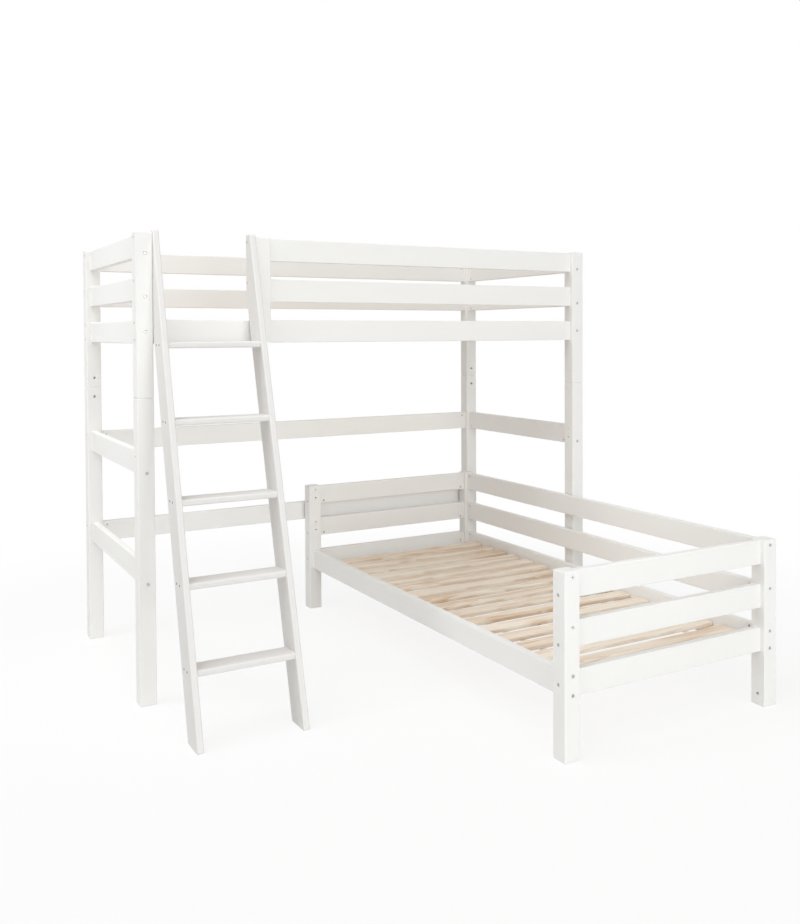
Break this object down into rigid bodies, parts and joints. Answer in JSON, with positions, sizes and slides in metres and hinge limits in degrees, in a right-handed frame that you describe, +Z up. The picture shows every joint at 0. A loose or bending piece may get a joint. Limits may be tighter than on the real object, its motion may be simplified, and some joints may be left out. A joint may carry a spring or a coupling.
{
  "type": "l shaped bunk bed",
  "caption": "L-shaped bunk bed: a guarded loft bed on legs with a leaning ladder, and an equal low bed at right angles under one end.",
  "frame": {"origin": "on the floor, in the middle of the footprint", "axes": "+Z up; +X along the loft bed, towards its end over the low bed; +Y along the low bed, from its foot in front to its head under the loft"},
  "size_m": [2.12, 2.1836, 1.792],
  "materials": {
    "paint": "white lacquered pine, satin",
    "pine": "bare planed pine",
    "steel": "zinc plated",
    "webbing": "woven webbing"
  },
  "bodies": {
    "root": {"loft_post_front_left": "paint", "loft_post_front_right": "paint", "loft_post_back_left": "paint", "loft_post_back_right": "paint", "loft_left_rail_low": "paint", "loft_left_rail_mid": "paint", "loft_left_rail_top": "paint", "loft_right_rail_low": "paint", "loft_right_rail_mid": "paint", "loft_right_rail_top": "paint", "loft_side_rail_front": "paint", "loft_side_rail_back": "paint", "loft_guard_back_mid": "paint", "loft_guard_back_top": "paint", "loft_guard_front_mid": "paint", "loft_guard_front_top": "paint", "ladder_guard_post": "paint", "loft_ledges": "pine", "loft_slats": "pine", "leg_front_left": "paint", "leg_front_right": "paint", "leg_back_left": "paint", "leg_back_right": "paint", "leg_left_rail_low": "paint", "leg_left_rail_high": "paint", "leg_right_rail_high": "paint", "leg_back_rail_low": "paint", "leg_back_rail_high": "paint", "ladder_stringer_left": "paint", "ladder_stringer_right": "paint", "ladder_tread_1": "paint", "ladder_tread_2": "paint", "ladder_tread_3": "paint", "ladder_tread_4": "paint", "ladder_tread_5": "paint", "ladder_bolts": "steel", "ladder_sleeve_nuts": "steel", "bed_post_head_left": "paint", "bed_post_head_right": "paint", "bed_post_foot_left": "paint", "bed_post_foot_right": "paint", "bed_head_rail_low": "paint", "bed_head_rail_mid": "paint", "bed_head_rail_top": "paint", "bed_foot_rail_low": "paint", "bed_foot_rail_mid": "paint", "bed_foot_rail_top": "paint", "bed_side_rail_left": "paint", "bed_side_rail_right": "paint", "bed_guard_mid": "paint", "bed_guard_top": "paint", "bed_ledges": "pine", "bed_slats": "pine", "slat_straps": "webbing", "rail_bolts": "steel", "barrel_nuts": "steel", "locating_dowels": "pine", "post_joint_studs": "steel", "wood_screws": "steel"}
  },
  "joints": []
}
